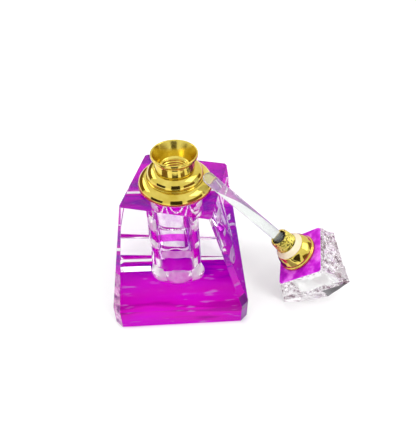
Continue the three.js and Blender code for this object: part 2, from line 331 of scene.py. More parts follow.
def square(half, cut, turn=0.0):
    """Eight corners of a square with cut corners."""
    corners = []
    for k in range(CORNERS):
        side = (half - cut) * (1 if k % 2 else -1)
        corner = Vector((half, side)).to_3d()
        corner.rotate(Matrix.Rotation(k // 2 * math.pi / 2 + turn, 3, "Z"))
        corners.append(corner)
    return corners


def slab(outline, thickness):
    """A flat plate on an outline of eight corners."""
    verts = [(p.x, p.y, z) for z in (0.0, thickness) for p in outline]
    under = list(range(CORNERS))
    over = [CORNERS + k for k in under]
    faces = [under[::-1], over]
    for k in under:
        n = (k + 1) % CORNERS
        faces.append((under[k], under[n], over[n], over[k]))
    return verts, faces


def soften(piece, width, segments):
    edges = piece.modifiers.new("edges", "BEVEL")
    edges.width = width * MM
    edges.segments = segments
    return edges


# Materials

# Depths of the bumps, in metres
BUMP_GLASS = 0.0004
BUMP_GOLD = 0.0003
BUMP_DULL = 0.0002

# Marks in the dull pieces, the lacquer and the gilt
DULL_RELIEF = 0.15
LACQUER_ROUGH = (0.28, 0.42)
LACQUER_SHINE = 0.05
SCUFF_SCALE = 900.0
SCUFF_STRETCH = (1.0, 1.0, 5.0)
STROKE_SCALE = 130.0
STROKE_STRETCH = (0.22, 1.0, 1.0)
STROKE_WANDER = 0.2
DAB_SCALE = 420.0
DAB_STRETCH = (0.35, 1.0, 1.0)
DAB_RANGE = (0.62, 0.74)
DAB_MOST = 0.6


def new_material(name):
    material = bpy.data.materials.new(name)
    material.use_nodes = True
    nodes = material.node_tree.nodes
    return material, nodes, material.node_tree.links, nodes["Principled BSDF"]


def texture(nodes, links, scale, detail, stretch=None):
    node = nodes.new("ShaderNodeTexNoise")
    node.inputs["Scale"].default_value = scale
    node.inputs["Detail"].default_value = detail
    place = nodes.new("ShaderNodeTexCoord")
    source = place.outputs["Object"]
    if stretch:
        mapping = nodes.new("ShaderNodeMapping")
        mapping.inputs["Scale"].default_value = stretch
        links.new(source, mapping.inputs["Vector"])
        source = mapping.outputs["Vector"]
    links.new(source, node.inputs["Vector"])
    return node.outputs["Fac"]


def spread(nodes, links, source, low, high, start=0.3, end=0.7):
    node = nodes.new("ShaderNodeMapRange")
    node.inputs["From Min"].default_value = start
    node.inputs["From Max"].default_value = end
    node.inputs["To Min"].default_value = low
    node.inputs["To Max"].default_value = high
    links.new(source, node.inputs["Value"])
    return node.outputs["Result"]


def ramp(nodes, links, source, stops):
    node = nodes.new("ShaderNodeValToRGB")
    elements = node.color_ramp.elements
    while len(elements) < len(stops):
        elements.new(0.5)
    for element, (place, colour) in zip(elements, stops):
        element.position = place
        element.color = (*colour, 1.0)
    links.new(source, node.inputs["Fac"])
    return node.outputs["Color"]


def relief(nodes, links, source, strength, distance):
    node = nodes.new("ShaderNodeBump")
    node.inputs["Strength"].default_value = strength
    node.inputs["Distance"].default_value = distance
    links.new(source, node.inputs["Height"])
    return node.outputs["Normal"]


def glass(name, tints, ior, smudge, waves, bump, gloss=1.0, clouds=90.0, clear=1.0):
    material, nodes, links, shader = new_material(name)
    shader.inputs["Transmission Weight"].default_value = clear
    shader.inputs["IOR"].default_value = ior
    shader.inputs["Specular Tint"].default_value = (gloss, gloss, gloss, 1.0)
    cloud = texture(nodes, links, clouds, detail=2.0)
    links.new(ramp(nodes, links, cloud, tints), shader.inputs["Base Color"])
    links.new(spread(nodes, links, cloud, *smudge), shader.inputs["Roughness"])
    swell = texture(nodes, links, waves, detail=2.0)
    links.new(relief(nodes, links, swell, bump, BUMP_GLASS), shader.inputs["Normal"])
    return material


def banded(material, tones, clouds):
    """Paints a magenta reflection into a glass where the slanting band crosses it."""
    nodes = material.node_tree.nodes
    links = material.node_tree.links
    tint = nodes["Principled BSDF"].inputs["Base Color"]
    place = nodes.new("ShaderNodeTexCoord")
    level = nodes.new("ShaderNodeVectorMath")
    level.operation = "DOT_PRODUCT"
    level.inputs[1].default_value = (0.0, BAND_SLOPE, 1.0)
    links.new(place.outputs["Object"], level.inputs[0])
    low, high = MAGENTA_REFLECTION_BAND
    across = spread(nodes, links, level.outputs["Value"], 0.0, 1.0, low * MM, high * MM)
    inside = ramp(nodes, links, across, BAND_EDGES)
    cloud = texture(nodes, links, clouds, detail=2.0)
    blend = nodes.new("ShaderNodeMix")
    blend.data_type = "RGBA"
    links.new(inside, blend.inputs["Factor"])
    links.new(tint.links[0].from_socket, blend.inputs["A"])
    links.new(ramp(nodes, links, cloud, tones), blend.inputs["B"])
    links.new(blend.outputs["Result"], tint)
    return material


def gold(name, tones, clouds, rough, grains, bump):
    material, nodes, links, shader = new_material(name)
    shader.inputs["Metallic"].default_value = 1.0
    cloud = texture(nodes, links, clouds, detail=4.0)
    links.new(ramp(nodes, links, cloud, tones), shader.inputs["Base Color"])
    scuffs = texture(nodes, links, SCUFF_SCALE, detail=4.0, stretch=SCUFF_STRETCH)
    links.new(spread(nodes, links, scuffs, *rough), shader.inputs["Roughness"])
    grain = texture(nodes, links, grains, detail=3.0)
    links.new(relief(nodes, links, grain, bump, BUMP_GOLD), shader.inputs["Normal"])
    return material


def lacquer(name, tones, clouds):
    material, nodes, links, shader = new_material(name)
    cloud = texture(nodes, links, clouds, detail=3.0)
    links.new(ramp(nodes, links, cloud, tones), shader.inputs["Base Color"])
    links.new(spread(nodes, links, cloud, *LACQUER_ROUGH), shader.inputs["Roughness"])
    shader.inputs["Specular IOR Level"].default_value = LACQUER_SHINE
    return material


def streaked(name, tones, flecks):
    """Lacquer laid on in strokes along X; its tone changes from the front to the back in darker and lighter
    bands of painted shade and light.
    """
    material, nodes, links, shader = new_material(name)
    place = nodes.new("ShaderNodeTexCoord")
    axes = nodes.new("ShaderNodeSeparateXYZ")
    links.new(place.outputs["Object"], axes.inputs["Vector"])
    reach = BASE_W / 2 * MM
    depth = spread(nodes, links, axes.outputs["Y"], 0.0, 1.0, -reach, reach)
    strokes = texture(nodes, links, STROKE_SCALE, detail=4.0, stretch=STROKE_STRETCH)
    wander = spread(nodes, links, strokes, -STROKE_WANDER, STROKE_WANDER)
    tone = nodes.new("ShaderNodeMath")
    links.new(depth, tone.inputs[0])
    links.new(wander, tone.inputs[1])
    dabs = texture(nodes, links, DAB_SCALE, detail=2.0, stretch=DAB_STRETCH)
    light = nodes.new("ShaderNodeMix")
    light.data_type = "RGBA"
    links.new(spread(nodes, links, dabs, 0.0, DAB_MOST, *DAB_RANGE), light.inputs["Factor"])
    links.new(ramp(nodes, links, tone.outputs[0], tones), light.inputs["A"])
    light.inputs["B"].default_value = (*flecks, 1.0)
    links.new(light.outputs["Result"], shader.inputs["Base Color"])
    links.new(spread(nodes, links, strokes, *LACQUER_ROUGH), shader.inputs["Roughness"])
    shader.inputs["Specular IOR Level"].default_value = 0.0
    return material


def dull(name, tones, clouds, rough):
    material, nodes, links, shader = new_material(name)
    cloud = texture(nodes, links, clouds, detail=4.0)
    links.new(ramp(nodes, links, cloud, tones), shader.inputs["Base Color"])
    links.new(spread(nodes, links, cloud, *rough), shader.inputs["Roughness"])
    links.new(relief(nodes, links, cloud, DULL_RELIEF, BUMP_DULL), shader.inputs["Normal"])
    return material


# Tones: places on a ramp from 0 to 1, each with its colour
CLEAR = [(0.3, (0.975, 0.96, 0.985)), (0.7, (0.99, 0.985, 1.0))]
LAVENDER = [(0.38, (0.76, 0.46, 0.82)), (0.5, (0.91, 0.80, 0.93)), (0.62, (0.97, 0.94, 0.98))]
RICH = [(0.38, (0.66, 0.0, 0.62)), (0.62, (0.90, 0.012, 0.86))]
PINKISH = [(0.38, (0.84, 0.52, 0.82)), (0.62, (1.0, 0.92, 1.0))]
GLINT_WHITE = [(0.38, (0.92, 0.92, 0.90)), (0.62, (1.0, 1.0, 0.98))]
GREYISH = [(0.38, (0.12, 0.05, 0.16)), (0.5, (0.66, 0.58, 0.62)), (0.62, (0.95, 0.94, 0.92))]
VIOLET = [(0.35, (0.03, 0.0, 0.14)), (0.65, (0.18, 0.02, 0.40))]
# Dark flecks in the ice's tint are painted shade
FROST_AND_SHADE = [(0.36, (0.20, 0.12, 0.16)), (0.45, (0.80, 0.75, 0.79)), (0.6, (1.0, 1.0, 1.0))]
TUBE = [(0.3, (0.76, 0.80, 0.78)), (0.7, (0.88, 0.90, 0.88))]
WINDOW = [(0.35, (0.84, 0.87, 0.85)), (0.65, (0.95, 0.97, 0.95))]
# The coat's own magenta, with darker and lighter bands from front to back that are painted shade and light
MAGENTA_WITH_SHADE_BANDS = [
    (0.0, (1.0, 0.0, 1.0)), (0.2, (0.98, 0.006, 0.78)), (0.3, (0.66, 0.0, 0.52)), (0.4, (0.88, 0.0, 0.72)),
    (0.6, (0.88, 0.0, 0.82)), (0.76, (0.72, 0.0, 0.72)), (0.85, (0.32, 0.0, 0.58)), (0.91, (0.74, 0.0, 0.66)),
]
BRIGHT = [(0.35, (0.42, 0.004, 0.52)), (0.5, (0.62, 0.02, 0.70)), (0.68, (0.88, 0.20, 0.95))]
ROSY = [(0.35, (0.72, 0.50, 0.58)), (0.65, (0.92, 0.88, 0.90))]
GREY = [(0.3, (0.10, 0.095, 0.10)), (0.7, (0.22, 0.215, 0.225))]
GOLDEN = [(0.35, (0.62, 0.46, 0.06)), (0.65, (0.82, 0.67, 0.15))]
# Dark flecks in the thread's gold are painted shade in its pits
THREAD_SHADE_FLECKS = [(0.38, (0.16, 0.13, 0.015)), (0.48, (0.88, 0.76, 0.17))]
CREAM = [(0.3, (0.72, 0.62, 0.40)), (0.7, (0.84, 0.76, 0.56))]
SHADE_BLACK = [(0.3, (0.03, 0.025, 0.02)), (0.7, (0.10, 0.085, 0.06))]

# Glasses
BORE_GLASS = dict(ior=1.22, smudge=(0.02, 0.06), waves=300.0, bump=0.05, gloss=0.3, clouds=240.0)
HOLLOW_GLASS = dict(ior=1.45, smudge=(0.0, 0.05), waves=300.0, bump=0.1, clouds=420.0)
CRYSTAL = glass("crystal", CLEAR, ior=1.53, smudge=(0.0, 0.012), waves=140.0, bump=0.02, gloss=0.05)
# The well's glass has lavender patches, a painted reflection of the coat
BORE = glass("bore", LAVENDER, **BORE_GLASS)
# A slanting band of painted magenta reflection across the front of the well's wall
BAND = banded(glass("bore_band", LAVENDER, **BORE_GLASS), RICH, clouds=420.0)
# Pink and white tints on the hollows: a painted reflection of the coat, and painted white highlights
BASIN = glass("bore_hollow", PINKISH, **HOLLOW_GLASS, clear=0.6)
GLINT = glass("bore_hollow_pale", GLINT_WHITE, **HOLLOW_GLASS, clear=0.42)
# Grey and whitish lumps with dark outlines on the front left cut corner: painted reflections
GREY_REFLECTION_EDGE = glass(
    "grey_reflection_edge", GREYISH, ior=1.5, smudge=(0.05, 0.3), waves=700.0, bump=0.5,
    gloss=0.6, clouds=520.0, clear=0.7,
)
# Dark violet painted shade on the back right and front right cut corners
SHADE = glass(
    "violet_edge", VIOLET, ior=1.53, smudge=(0.0, 0.02), waves=300.0, bump=0.1,
    gloss=0.4, clouds=260.0,
)
ICE = glass("ice_crystal", FROST_AND_SHADE, ior=1.53, smudge=(0.0, 0.05), waves=700.0, bump=0.3, clouds=800.0)
PANE = glass(
    "clear_pane", WINDOW, ior=1.53, smudge=(0.0, 0.04), waves=200.0, bump=0.03,
    gloss=0.5, clouds=160.0, clear=0.55,
)
ROD_GLASS = glass("rod_glass", TUBE, ior=1.15, smudge=(0.02, 0.08), waves=200.0, bump=0.03, clear=0.84)

# Coats, gilt and the rest
COAT = streaked("colour_coat", MAGENTA_WITH_SHADE_BANDS, flecks=(0.80, 0.30, 0.86))
FACE_COAT = lacquer("face_coat", BRIGHT, clouds=330.0)
BACKING = lacquer("backing", ROSY, clouds=500.0)
# A dull dark grey patch on a far corner of the head: a painted dark reflection
DARK_REFLECTION = dull("dark_reflection", GREY, clouds=220.0, rough=(0.2, 0.35))
GILT = gold("gilt", GOLDEN, clouds=200.0, rough=(0.05, 0.12), grains=500.0, bump=0.02)
GILT_SATIN = gold("gilt_satin", GOLDEN, clouds=200.0, rough=(0.16, 0.24), grains=400.0, bump=0.04)
GILT_THREAD = gold("gilt_thread", THREAD_SHADE_FLECKS, clouds=1300.0, rough=(0.12, 0.3), grains=1600.0, bump=0.5)
SEAL = dull("seal", CREAM, clouds=300.0, rough=(0.25, 0.4))
CEMENT = dull("cement", SHADE_BLACK, clouds=900.0, rough=(0.5, 0.8))


def settle(piece, node, body, slot, *materials):
    for material in materials:
        piece.data.materials.append(material)
    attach(piece, body)
    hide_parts(node)


def paint(piece, looks, choose):
    """Gives each face the look that is chosen for it."""
    for face in piece.data.polygons:
        face.material_index = looks.index(choose(face))


# Crystal block: levels of an eight-sided outline, with a round well let into the top

FOOT = square(BASE_W / 2 - FOOT_BEVEL, BASE_CUT)
PLINTH = square(BASE_W / 2, BASE_CUT)
CROWN = square(TOP_W / 2, TOP_CUT, TWIST)

FOOT_BACK = (COAT_T, BASE_W / 2 - FOOT_BEVEL)
BEVEL_BACK = (COAT_T + FOOT_BEVEL, BASE_W / 2)

# Height of the front corners, height and depth of the back left and back right ones, and steps up to them
LEVELS = [
    (COAT_T, FOOT_BACK, FOOT_BACK, 1),
    (COAT_T + FOOT_BEVEL, BEVEL_BACK, BEVEL_BACK, 1),
    (TOE_FRONT, (TOE_LEFT, BACK_DEEP_LEFT), (TOE_RIGHT, BACK_DEEP_RIGHT), 1),
    (PLINTH_H, (LEDGE_LOW_LEFT, BACK_DEEP_LEFT), (LEDGE_LOW_RIGHT, BACK_DEEP_RIGHT), 1),
    (LEDGE_TOP_FRONT, (LEDGE_TOP_LEFT, UPPER_DEEP_LEFT), (LEDGE_TOP_RIGHT, UPPER_DEEP_RIGHT), LEDGE_STEPS),
    (BACK_BEND, (BACK_BEND, UPPER_DEEP_LEFT), (BACK_BEND, UPPER_DEEP_RIGHT), FACE_STEPS),
    (BLOCK_H, (BLOCK_H, CROWN[BACK_LEFT].y), (BLOCK_H, CROWN[BACK_RIGHT].y), FACE_STEPS),
]


def block_corner(k, z, depth=None):
    t = max(0.0, (z - PLINTH_H) / (BLOCK_H - PLINTH_H))
    spot = PLINTH[k].lerp(CROWN[k], t)
    return Vector((spot.x, spot.y if depth is None else depth, z))


def block_rings():
    rings = [[Vector((p.x, p.y, COAT_T)) for p in FOOT]]
    for (low, low_left, low_right, _), (high, high_left, high_right, steps) in zip(LEVELS, LEVELS[1:]):
        for i in range(1, steps + 1):
            t = i / steps
            ring = [block_corner(k, low + (high - low) * t) for k in range(CORNERS)]
            ring[BACK_LEFT] = block_corner(BACK_LEFT, *Vector(low_left).lerp(Vector(high_left), t))
            ring[BACK_RIGHT] = block_corner(BACK_RIGHT, *Vector(low_right).lerp(Vector(high_right), t))
            rings.append(ring)
    return rings


def well_rings():
    """Radius and height of the rings down the well: mouth, wall and the rounding to its floor."""
    rings = [(WELL_R, BLOCK_H)]
    for k in range(HOLLOW_RINGS):
        rings.append((WELL_R, HOLLOW_TOP - HOLLOW_STEP * k))
    for k in range(WELL_ROUND_STEPS + 1):
        a = math.pi / 2 * k / WELL_ROUND_STEPS
        r = WELL_R - WELL_ROUND + WELL_ROUND * math.cos(a)
        rings.append((r, WELL_FLOOR + WELL_ROUND - WELL_ROUND * math.sin(a)))
    return rings


def well_bearings():
    """Angles round the well, an equal share of them to each side of the block's top."""
    corners = [math.atan2(p.y, p.x) for p in CROWN]
    bearings = []
    for start, end in zip(corners, corners[1:] + corners[:1]):
        end += 2 * math.pi if end < start else 0.0
        bearings += [start + (end - start) * j / SIDE_SHARE for j in range(SIDE_SHARE)]
    return bearings


def hollow(angle, z):
    """How far the well's wall is ground back at a bearing and a height."""
    deep = 0.0
    for bearing, level, wide, tall, depth in WALL_HOLLOWS:
        swing = (math.degrees(angle) - bearing + 180) % 360 - 180
        reach = 1 - (swing / wide) ** 2 - ((z - level) / tall) ** 2
        deep = max(deep, depth * math.sqrt(max(0.0, reach)))
    return deep


def block_mesh():
    verts = [tuple(p) for ring in block_rings() for p in ring]
    top = len(verts) - CORNERS
    faces = []
    for start in range(0, top, CORNERS):
        for k in range(CORNERS):
            n = (k + 1) % CORNERS
            faces.append((start + k, start + n, start + CORNERS + n, start + CORNERS + k))
    bearings = well_bearings()
    total = len(bearings)
    rows = []
    for r, z in well_rings():
        rows.append([len(verts) + i for i in range(total)])
        for a in bearings:
            reach = r + (hollow(a, z) if r == WELL_R else 0.0)
            verts.append((reach * math.cos(a), reach * math.sin(a), z))
    # The top is cut by the well's mouth: each of the eight sides meets its share of the circle
    for k in range(CORNERS):
        arc = [rows[0][(k * SIDE_SHARE + j) % total] for j in range(SIDE_SHARE + 1)]
        faces.append([top + k, top + (k + 1) % CORNERS] + arc[::-1])
    for low, high in zip(rows, rows[1:]):
        for j in range(total):
            n = (j + 1) % total
            faces.append((low[j], low[n], high[n], high[j]))
    faces.append(rows[-1])
    # The underside goes round the strip where the coat has come away from the glass
    strip = [len(verts) + i for i in range(len(LIFTED))]
    verts += [(x, y, COAT_T) for x, y in LIFTED]
    faces.append(strip[::-1])
    faces += [[4, 3, strip[0], strip[3]], [3, 2, strip[1], strip[0]]]
    faces += [[2, 1, 0, 7, 6, 5, strip[2], strip[1]], [5, 4, strip[3], strip[2]]]
    return verts, faces


block = outward(add_piece("crystal_block", *block_mesh(), sharp=FACET_ANGLE))
soft = soften(block, EDGE_ROUND, segments=3)
soft.limit_method = "ANGLE"
soft.angle_limit = math.radians(FACET_ANGLE)
BLOCK_LOOKS = [CRYSTAL, COAT, BORE, BASIN, GREY_REFLECTION_EDGE, SHADE, GLINT, BAND]
settle(block, "glass_block", "bottle", "crystal", *BLOCK_LOOKS)
SIDE_FACES = (len(block_rings()) - 1) * CORNERS
STRIP_START = len(block.data.vertices) - len(LIFTED)


def well_look(spot):
    aside = abs(spot.x)
    band = spot.z + BAND_SLOPE * spot.y
    # Hollows get painted white highlights to the sides and a painted pink reflection of the coat in the
    # middle
    if spot.xy.length > WELL_R + TINT_FROM:
        return GLINT if aside > GLINT_ASIDE else BASIN
    # A second slanting band, of painted pale reflection
    if spot.y < 0 and PALE_REFLECTION_BAND[0] < band < PALE_REFLECTION_BAND[1] and aside < PALE_REFLECTION_REACH:
        return BASIN
    return BAND if spot.y < 0 else BORE


def block_look(face):
    spot = face.center / MM
    side = face.index % CORNERS if face.index < SIDE_FACES else None
    if spot.z < COAT_T + SKIN:
        return CRYSTAL if min(face.vertices) >= STRIP_START else COAT
    if spot.xy.length < WELL_R + TINT_TO and spot.z < BLOCK_H - SKIN:
        return well_look(spot)
    # Painted grey reflections low on the front left cut corner
    if side == FRONT_LEFT_CUT and spot.z < GREY_REFLECTION_TOP:
        return GREY_REFLECTION_EDGE
    # Painted violet shade low on the back right and front right cut corners
    if side == BACK_RIGHT_CUT and spot.z < VIOLET_BACK_TOP:
        return SHADE
    if side == FRONT_RIGHT_CUT and spot.z < VIOLET_FRONT_TOP:
        return SHADE
    return CRYSTAL


paint(block, BLOCK_LOOKS, block_look)

# Colour coat under the block
under = add_piece("under_coat", *slab(FOOT, COAT_T - COAT_GAP), sharp=30)
soften(under, COAT_ROUND, segments=2)
settle(under, "base_coat", "bottle", "colour_coat", COAT)


# Collar: a gasket, a flange, a bead and a mouth, each turned from its outline

gasket = lathe(soft_profile(on_block([
    (WELL_R, 0, 0.05), (GASKET_R, 0, 0.1), (GASKET_R, GASKET_T, 0.1), (WELL_R, GASKET_T, 0.05),
])))
settle(outward(add_piece("gasket_ring", *gasket, sharp=35)), "collar_gasket", "bottle", "seal", SEAL)

flange_low = soft_profile(on_block([
    (SLEEVE_R, -SPIGOT_DEEP, 0.0), (SPIGOT_R, -SPIGOT_DEEP, 0.2), (SPIGOT_R, GASKET_T, 0.0),
    (FLANGE_UNDER_R, GASKET_T, 0.12), (FLANGE_R, RIM_TOP, 0.0),
]))
flange_dome = dome(FLANGE_R, RIM_TOP, FLANGE_DOME_R, FLANGE_TOP)[1:]
flange_groove = [(BEAD_R + 0.1, FLANGE_TOP - 0.04), (BEAD_R, FLANGE_TOP - 0.2), (BEAD_R - 0.2, FLANGE_TOP)]
flange = lathe(flange_low + on_block(flange_dome + flange_groove + [(SLEEVE_R, FLANGE_TOP)]))
settle(outward(add_piece("flange_ring", *flange, sharp=50)), "collar_flange", "bottle", "gilt", GILT)

bead_low = [(SLEEVE_R, BEAD_LOW), (BEAD_R - 0.3, BEAD_LOW), (BEAD_R - 0.1, BEAD_LOW + 0.13)]
bead_dome = dome(BEAD_R, BEAD_RIM, BEAD_DOME_R, BEAD_TOP)
bead = lathe(on_block(bead_low + bead_dome + [(SLEEVE_R, BEAD_TOP)]))
settle(outward(add_piece("bead_ring", *bead, sharp=50)), "collar_bead", "bottle", "gilt", GILT)


def throat_thread(r, z, angle):
    start, end = THROAT_THREAD_SPAN
    if r > (THROAT_R + MOUTH_R) / 2 or not BLOCK_H + start < z < BLOCK_H + end:
        return 0.0
    return THROAT_THREAD * thread(z, angle)


mouth_outline = soft_profile(on_block([
    (THROAT_R, -MOUTH_DEEP, 0.1), (MOUTH_R, -MOUTH_DEEP, 0.1), (MOUTH_R, NECK_LOW, 0.0),
    (NECK_FOOT_R, NECK_LOW, 0.05), (NECK_R, 8.7, 0.5), (5.55, 9.4, 0.25), (5.95, 9.7, 0.2),
    (LIP_R, 9.8, 0.3), (LIP_R, LIP_TOP - 0.04, 0.3), (LIP_INNER_R, LIP_TOP, 0.2),
    (5.6, 9.9, 0.6), (4.9, 8.4, 0.9), (4.15, 6.4, 0.3), (THROAT_R, THROAT_TOP, 0.1),
]), steps=8)
throat_drops = [THROAT_LONG * i / THROAT_STEPS for i in range(2, THROAT_STEPS + 1)]
throat = on_block([(THROAT_R, THROAT_TOP - drop) for drop in throat_drops])
mouth = lathe(mouth_outline + throat, segments=144, wobble=throat_thread)
neck = outward(add_piece("mouth_neck", *mouth, sharp=50))
NECK_LOOKS = [GILT, GILT_SATIN]
settle(neck, "collar_mouth", "bottle", "gilt", *NECK_LOOKS)


def neck_look(face):
    inward = face.normal.xy.dot(face.center.xy) < 0
    return GILT_SATIN if inward and face.center.z > (BLOCK_H + FUNNEL_LOW) * MM else GILT


paint(neck, NECK_LOOKS, neck_look)


# Stopper: its own +Z runs up the rod to the head, zero at the coated face

turn = next(j for j in frame["joints"] if j["name"] == "stopper_turn")
AXIS = -Vector(turn["axis"]).normalized()
SPOT = Vector(turn["pos_m"])
near = min(v.co.dot(AXIS) for v in frame["nodes"]["stopper_coat"].data.vertices)
level = Vector((0, 0, 1)).cross(AXIS).normalized()
across = Matrix.Rotation(HEAD_SPIN, 3, AXIS) @ level
LYING = Matrix((across, AXIS.cross(across), AXIS)).transposed().to_4x4()
LYING.translation = SPOT + AXIS * (near - SPOT.dot(AXIS))


def chips(spot):
    """Depth of the broken surface: a tilted flat for each cell of a random pattern."""
    cell = noise.voronoi(spot * CHIP_SIZE, distance_metric="DISTANCE", exponent=2.5)[1][0]
    tilt = noise.cell_vector(cell * TILT_SPREAD + TILT_SHIFT) - Vector((0.5, 0.5, 0.5))
    rise = tilt.dot(spot - cell / CHIP_SIZE)
    swell = noise.noise(spot * SWELL_SIZE) * SWELL
    return min(CHIP_MOST, max(0.0, CHIP_MEAN + CHIP_TILT * rise + swell))


def head_row(corners, depth, calm):
    """One ring of the head, chipped towards its heart, with a calm window in its front."""
    row = []
    for side in range(4):
        start = corners[side - 1]
        end = corners[side]
        for k in range(GRID):
            spot = start.lerp(end, k / GRID)
            edge = abs(2 * k / GRID - 1)
            deep = chips(spot) * depth * (1 - EDGE_CALM * edge ** 4)
            if side == FRONT_SIDE and calm and CALM_X[0] < spot.x < CALM_X[1]:
                deep *= CALM_CHIP
            elif side > FRONT_SIDE:
                deep *= FAR_CHIP
            row.append(spot + (HEART - spot).normalized() * deep)
    return row


def head_mesh():
    face = [Vector((x, y, COAT_T + HEAD_GAP)) for x, y in HEAD_FACE]
    girdle = [Vector(c) for c in HEAD_GIRDLE]
    plate = [Vector(c) for c in HEAD_PLATE]
    rows = []
    for i in range(FLARE_ROWS + 1):
        t = i / FLARE_ROWS
        depth = min(1.0, t * CHIP_RISE, SLOPE_CHIP + (1 - t) * CHIP_FALL)
        calm = CALM_RISE[0] < t < CALM_RISE[1]
        rows.append(head_row([a.lerp(b, t) for a, b in zip(face, girdle)], depth, calm))
    for i in range(1, SLOPE_ROWS + 1):
        t = i / SLOPE_ROWS
        rows.append(head_row([a.lerp(b, t) for a, b in zip(girdle, plate)], SLOPE_CHIP, False))
    total = 4 * GRID
    verts = [tuple(spot) for row in rows for spot in row]
    faces = []
    for start in range(0, len(verts) - total, total):
        for k in range(total):
            n = (k + 1) % total
            faces.append((start + k, start + n, start + total + n, start + total + k))
    faces.append(list(range(total))[::-1])
    faces.append(list(range(len(verts) - total, len(verts))))
    return verts, faces


def head_look(face):
    spot = face.center / MM
    if spot.z < COAT_T + HEAD_GAP + SKIN and len(face.vertices) > 4:
        return BACKING
    # Painted dark reflection on the far corner
    if all(here > least for here, least in zip(spot, DARK_REFLECTION_FROM)):
        return DARK_REFLECTION
    if spot.y > PANE_Y and PANE_X[0] < spot.x < PANE_X[1] and PANE_Z[0] < spot.z < PANE_Z[1]:
        return PANE
    return ICE


head = outward(add_piece("stopper_crystal", *head_mesh(), sharp=22))
HEAD_LOOKS = [ICE, BACKING, DARK_REFLECTION, PANE]
settle(head, "stopper_block", "stopper", "ice_crystal", *HEAD_LOOKS)
paint(head, HEAD_LOOKS, head_look)
head.data.transform(LYING)


def stopper_piece(name, shape, node, body, slot, material, sharp=50):
    piece = outward(add_piece(name, *shape, sharp=sharp))
    piece.data.transform(LYING)
    settle(piece, node, body, slot, material)


face_ring = []
for i, corner in enumerate(HEAD_FACE):
    here = Vector(corner)
    for other in (HEAD_FACE[i - 1], HEAD_FACE[(i + 1) % 4]):
        face_ring.append(here + (Vector(other) - here).normalized() * FACE_CUT)
face_slab = slab(face_ring, COAT_T)
stopper_piece("face_coat", face_slab, "stopper_coat", "stopper", "colour_coat", FACE_COAT, sharp=30)

bell = lathe(soft_profile([
    (BELL_BORE, BELL_LOW, 0.0), (4.5, BELL_LOW, 0.1), (4.75, -4.3, 0.3), (5.4, -3.1, 0.8), (5.85, -1.6, 0.3),
    (5.75, -1.2, 0.1), (BELL_R, -1.0, 0.25), (BELL_R, BELL_TOP, 0.25), (BELL_BORE, BELL_TOP, 0.0),
], steps=8))
stopper_piece("bell_socket", bell, "stopper_bell", "stopper", "gilt", GILT)

washer = lathe(soft_profile([
    (SEAL_BORE, SEAL_LOW, 0.0), (SEAL_TIP_R, SEAL_LOW, 0.1), (4.1, -5.4, 0.6), (SEAL_R, -4.8, 0.2),
    (SEAL_R - 0.05, SEAL_TOP, 0.05), (SEAL_BORE, SEAL_TOP, 0.0),
], steps=8))
stopper_piece("washer_ring", washer, "seal_washer", "washer", "seal", SEAL)


def screw_thread(r, z, angle):
    start, end = SCREW_THREAD_SPAN
    if r < SCREW_TIP_R - 0.05 or not start < z < end:
        return 0.0
    round_x = math.cos(angle) * CRINKLE_ROUND
    round_y = math.sin(angle) * CRINKLE_ROUND
    crinkle = noise.noise(Vector((round_x, round_y, z * CRINKLE_RISE)))
    knurl = math.sin(angle * KNURLS + z * KNURL_RISE) * math.sin(angle * KNURLS - z * KNURL_RISE)
    return -SCREW_THREAD * thread(z, angle) - KNURL_DEEP * (1 + knurl) + CRINKLE_DEEP * min(0.0, crinkle)


screw_end = [
    (0.0, SOCKET_TOP), (SOCKET_R, SOCKET_TOP), (SOCKET_R, SCREW_END + 0.05), (SOCKET_R + 0.08, SCREW_END),
    (SCREW_TIP_R - 0.3, SCREW_END), (SCREW_TIP_R - 0.2, SCREW_END + 0.05),
    (SCREW_TIP_R - 0.05, SCREW_END + 0.35),
]
screw_side = []
for i in range(SCREW_STEPS + 1):
    r = SCREW_TIP_R + SCREW_TAPER * i / SCREW_STEPS
    screw_side.append((r, SCREW_LOW + SCREW_LONG * i / SCREW_STEPS))
screw_stud = [(SCREW_R, SCREW_TOP), (STUD_R, SCREW_TOP), (STUD_R, STUD_TOP), (0.0, STUD_TOP)]
screw = lathe(screw_end + screw_side + screw_stud, segments=168, wobble=screw_thread)
stopper_piece("screw_stub", screw, "stopper_screw", "stopper", "gilt_thread", GILT_THREAD)

# The cement bush is near black: painted shade in the hollow end of the screw stub, where the rod comes out
bush = lathe(soft_profile([
    (BUSH_BORE, BUSH_LOW, 0.1), (BUSH_R, BUSH_LOW, 0.1), (BUSH_R, BUSH_TOP, 0.0), (BUSH_BORE, BUSH_TOP, 0.0),
]), segments=64)
stopper_piece("cement_bush", bush, "rod_bush", "stopper", "cement", CEMENT)

rod_outline = []
for k in range(ROD_TIP_STEPS + 1):
    a = math.pi / 2 * k / ROD_TIP_STEPS
    rod_outline.append((ROD_R * math.sin(a), ROD_TIP + ROD_R - ROD_R * math.cos(a)))
rod_outline += [(ROD_R, ROD_TOP - ROD_SHOULDER), (ROD_R - ROD_SHOULDER, ROD_TOP), (0.0, ROD_TOP)]
rod = lathe(rod_outline, segments=64)
stopper_piece("glass_rod", rod, "applicator_rod", "stopper", "rod_glass", ROD_GLASS)


# Stage: a white floor, and cards beside it that only show in reflections

FLOOR_HALF = 3.0
FLOOR_DROP = 0.00002
CARD_LIFT = 0.1


def plane(name, corners):
    mesh = bpy.data.meshes.new(name)
    mesh.from_pydata(corners, [], [(0, 1, 2, 3)])
    sheet = bpy.data.objects.new(name, mesh)
    bpy.context.scene.collection.objects.link(sheet)
    return sheet


